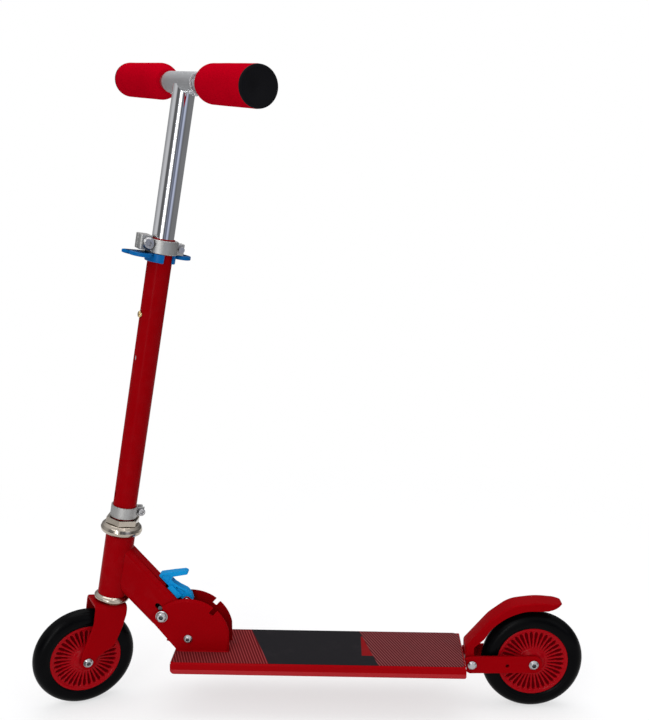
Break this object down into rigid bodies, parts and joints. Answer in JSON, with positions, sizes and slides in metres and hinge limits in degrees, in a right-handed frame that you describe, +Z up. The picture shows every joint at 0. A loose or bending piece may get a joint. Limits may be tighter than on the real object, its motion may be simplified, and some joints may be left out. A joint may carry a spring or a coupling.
{
  "type": "kick scooter",
  "caption": "Folding two-wheel kick scooter for a child: red deck and stem, height-adjustable T-bar with foam grips, blue fold lever and handle clip, rear fender brake.",
  "frame": {"origin": "on the floor, under the middle of the overall box", "axes": "+X from the front wheel to the rear wheel, +Y to the rider's right, +Z up; the bar is turned 30 degrees to the rider's left at rest"},
  "size_m": [0.675, 0.3624, 0.7786],
  "materials": {
    "red_paint": "gloss",
    "deck_metal": "gloss",
    "grip_tape": "matte",
    "steel": "satin",
    "chrome": "polished",
    "sleeve_metal": "satin",
    "nickel": "satin",
    "brass": "satin",
    "foam": "matte",
    "black_plastic": "matte",
    "red_plastic": "gloss",
    "blue_plastic": "gloss",
    "tyre": "matte"
  },
  "bodies": {
    "deck_frame": {"deck": "deck_metal", "deck_grip_tape": "grip_tape", "bracket_base": "red_paint", "bracket_plate_left": "red_paint", "bracket_plate_right": "red_paint", "pivot_bolt": "steel", "stop_bolt": "steel", "bracket_nuts": "steel", "rear_arm_left": "red_paint", "rear_arm_right": "red_paint", "rear_arm_web": "red_paint", "rear_axle_bolt": "steel", "rear_axle_nut": "steel", "rear_axle_spacers": "steel", "brake_hinge_bolt": "steel", "brake_hinge_nut": "steel", "brake_spring": "steel"},
    "front_frame": {"down_tube": "red_paint", "hinge_knuckle": "red_paint", "lever_bracket": "steel", "lever_pin": "steel", "latch_spring": "steel", "head_tube": "red_paint", "headset_lower_cup": "chrome", "headset_upper_cup": "nickel"},
    "latch_lever": {"latch_lever": "blue_plastic"},
    "lock_pin": {"lock_pin": "steel"},
    "steering": {"fork": "red_paint", "crown_race": "steel", "headset_nut": "nickel", "steering_tube": "red_paint", "lower_clamp_band": "chrome", "lower_clamp_screw": "steel", "upper_clamp_left": "chrome", "upper_clamp_right": "chrome", "upper_clamp_bolts": "steel", "upper_clamp_nuts": "steel", "handle_clip": "blue_plastic", "front_axle_bolt": "steel", "front_axle_nut": "steel", "front_axle_spacers": "steel"},
    "front_wheel": {"front_wheel_hub": "red_plastic", "front_tyre": "tyre", "front_bearings": "steel"},
    "rear_wheel": {"rear_wheel_hub": "red_plastic", "rear_tyre": "tyre", "rear_bearings": "steel"},
    "brake": {"brake_fender": "red_paint"},
    "t_bar": {"riser_tube": "chrome", "bar_sleeve": "sleeve_metal"},
    "left_handle": {"handle_tube_left": "chrome", "foam_grip_left": "foam", "end_cap_left": "black_plastic"},
    "right_handle": {"handle_tube_right": "chrome", "foam_grip_right": "foam", "end_cap_right": "black_plastic"},
    "height_button": {"height_button": "brass"},
    "left_button": {"handle_button_left": "steel"},
    "right_button": {"handle_button_right": "steel"}
  },
  "joints": [
    {"name": "fold", "type": "hinge", "parent": "deck_frame", "child": "front_frame", "pos_m": [-0.1505, 0, 0.0888], "axis": [0, 1, 0], "range_deg": [0, 83]},
    {"name": "steer", "type": "hinge", "parent": "front_frame", "child": "steering", "pos_m": [-0.23941, 0, 0.17673], "axis": [0.1736, 0, 0.9848], "continuous": true},
    {"name": "front_wheel_spin", "type": "hinge", "parent": "steering", "child": "front_wheel", "pos_m": [-0.28157, -0.0125, 0.06231], "axis": [-0.4924, 0.866, 0.0868], "continuous": true},
    {"name": "rear_wheel_spin", "type": "hinge", "parent": "deck_frame", "child": "rear_wheel", "pos_m": [0.275, 0, 0.0625], "axis": [0, 1, 0], "continuous": true},
    {"name": "height", "type": "slide", "parent": "steering", "child": "t_bar", "axis": [0.1736, 0, 0.9848], "range_m": [-0.051, 0]},
    {"name": "left_handle_pull", "type": "slide", "parent": "t_bar", "child": "left_handle", "axis": [0.4924, -0.866, -0.0868], "range_m": [0, 0.043]},
    {"name": "right_handle_pull", "type": "slide", "parent": "t_bar", "child": "right_handle", "axis": [-0.4924, 0.866, 0.0868], "range_m": [0, 0.043]},
    {"name": "height_button_press", "type": "slide", "parent": "t_bar", "child": "height_button", "axis": [0.8529, 0.5, -0.1504], "range_m": [0, 0.004], "stiffness_N_per_m": 4000, "springref_m": -0.002, "deforming": ["height_button"]},
    {"name": "left_button_press", "type": "slide", "parent": "left_handle", "child": "left_button", "axis": [0.1736, 0, 0.9848], "range_m": [0, 0.0033], "stiffness_N_per_m": 4000, "springref_m": -0.002, "deforming": ["handle_button_left"]},
    {"name": "right_button_press", "type": "slide", "parent": "right_handle", "child": "right_button", "axis": [0.1736, 0, 0.9848], "range_m": [0, 0.0033], "stiffness_N_per_m": 4000, "springref_m": -0.002, "deforming": ["handle_button_right"]},
    {"name": "lever", "type": "hinge", "parent": "front_frame", "child": "latch_lever", "pos_m": [-0.15226, 0, 0.13531], "axis": [0, 1, 0], "range_deg": [0, 7.95], "stiffness_Nm_per_rad": 2, "springref_deg": -14.32},
    {"name": "lock_pin_slide", "type": "slide", "parent": "front_frame", "child": "lock_pin", "axis": [-0.6626, 0, 0.749], "range_m": [0, 0.0045]},
    {"name": "brake", "type": "hinge", "parent": "deck_frame", "child": "brake", "pos_m": [0.1994, 0, 0.0608], "axis": [0, 1, 0], "range_deg": [0, 7.5], "stiffness_Nm_per_rad": 3, "springref_deg": -8.59}
  ],
  "couplings": [
    {"joint": "lock_pin_slide", "follows": "lever", "m_per_rad": 0.032432}
  ]
}
